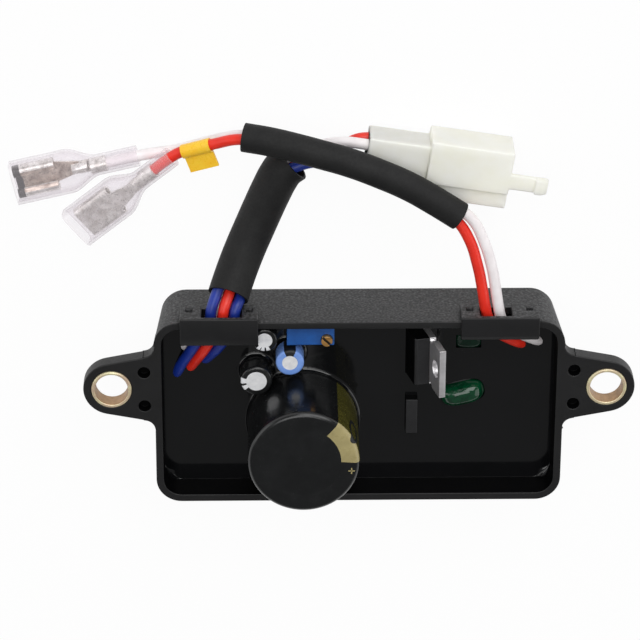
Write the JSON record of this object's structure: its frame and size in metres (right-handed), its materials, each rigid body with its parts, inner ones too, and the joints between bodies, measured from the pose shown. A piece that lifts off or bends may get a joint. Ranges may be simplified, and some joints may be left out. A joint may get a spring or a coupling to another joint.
{
  "type": "automatic voltage regulator",
  "caption": "Potted voltage regulator for a portable generator: eared black case with clipped wires, capacitors and trimmer, a plug and spade terminals on two short harnesses.",
  "frame": {"origin": "middle of the case's flat back, which lies on the surface", "axes": "+X along the length from ear to ear, +Y towards the cable side, +Z out of the open face, along the mounting holes"},
  "size_m": [0.1231, 0.0787, 0.0278],
  "materials": {
    "moulded_case": "fine moulded grain",
    "clip_plastic": "smooth satin",
    "zinc_bushing": "yellow passivated zinc",
    "board_laminate": "bare laminate",
    "potting_resin": "glossy cast epoxy",
    "can_aluminium": "drawn, satin",
    "black_film": "shrunk film, satin gloss",
    "blue_film": "shrunk film, satin gloss",
    "tinned_lead": "tinned",
    "trimmer_plastic": "moulded, satin",
    "trimmer_brass": "turned brass",
    "package_plastic": "moulded epoxy",
    "tab_metal": "tinned copper, stamped",
    "green_dip": "dipped resin",
    "resistor_body": "lacquer",
    "blue_wire": "PVC, satin",
    "red_wire": "PVC, satin",
    "white_wire": "PVC, satin",
    "sleeving": "PVC tube, matt",
    "plug_nylon": "natural nylon, milky",
    "contact_tin": "tinned brass sheet",
    "clear_shroud": "clear soft PVC",
    "marker_tape": "folded tape"
  },
  "bodies": {
    "regulator": {"case": "moulded_case", "left_bushing": "zinc_bushing", "right_bushing": "zinc_bushing", "left_wire_clip": "clip_plastic", "right_wire_clip": "clip_plastic", "circuit_board": "board_laminate", "potting_resin": "potting_resin", "main_capacitor_can": "can_aluminium", "main_capacitor_sleeve": "black_film", "main_capacitor_disc": "black_film", "main_capacitor_pins": "tinned_lead", "slim_capacitor_can": "can_aluminium", "slim_capacitor_sleeve": "black_film", "stout_capacitor_can": "can_aluminium", "stout_capacitor_sleeve": "black_film", "blue_capacitor_can": "can_aluminium", "blue_capacitor_sleeve": "blue_film", "capacitor_leads": "tinned_lead", "trimmer_body": "trimmer_plastic", "trimmer_pins": "tinned_lead", "transistor_body": "package_plastic", "transistor_tab": "tab_metal", "transistor_leads": "tinned_lead", "signal_transistor": "package_plastic", "large_film_capacitor": "green_dip", "small_film_capacitor": "green_dip", "rectifier_diodes": "package_plastic", "resistors": "resistor_body", "blue_outer_wire": "blue_wire", "red_sense_wire": "red_wire", "blue_inner_wire": "blue_wire", "white_sense_wire": "white_wire", "red_brush_wire": "red_wire", "white_brush_wire": "white_wire", "wide_sleeve": "sleeving", "slim_sleeve": "sleeving", "plug_housing": "plug_nylon", "plug_blades": "contact_tin", "red_receptacle": "contact_tin", "white_receptacle": "contact_tin", "red_shroud": "clear_shroud", "white_shroud": "clear_shroud", "marker_flag": "marker_tape"},
    "adjuster": {"trimmer_screw": "trimmer_brass"}
  },
  "joints": [
    {"name": "trimmer_turn", "type": "hinge", "parent": "regulator", "child": "adjuster", "pos_m": [-0.0064, 0.01485, 0.0133], "axis": [0, 0, 1], "continuous": true}
  ]
}
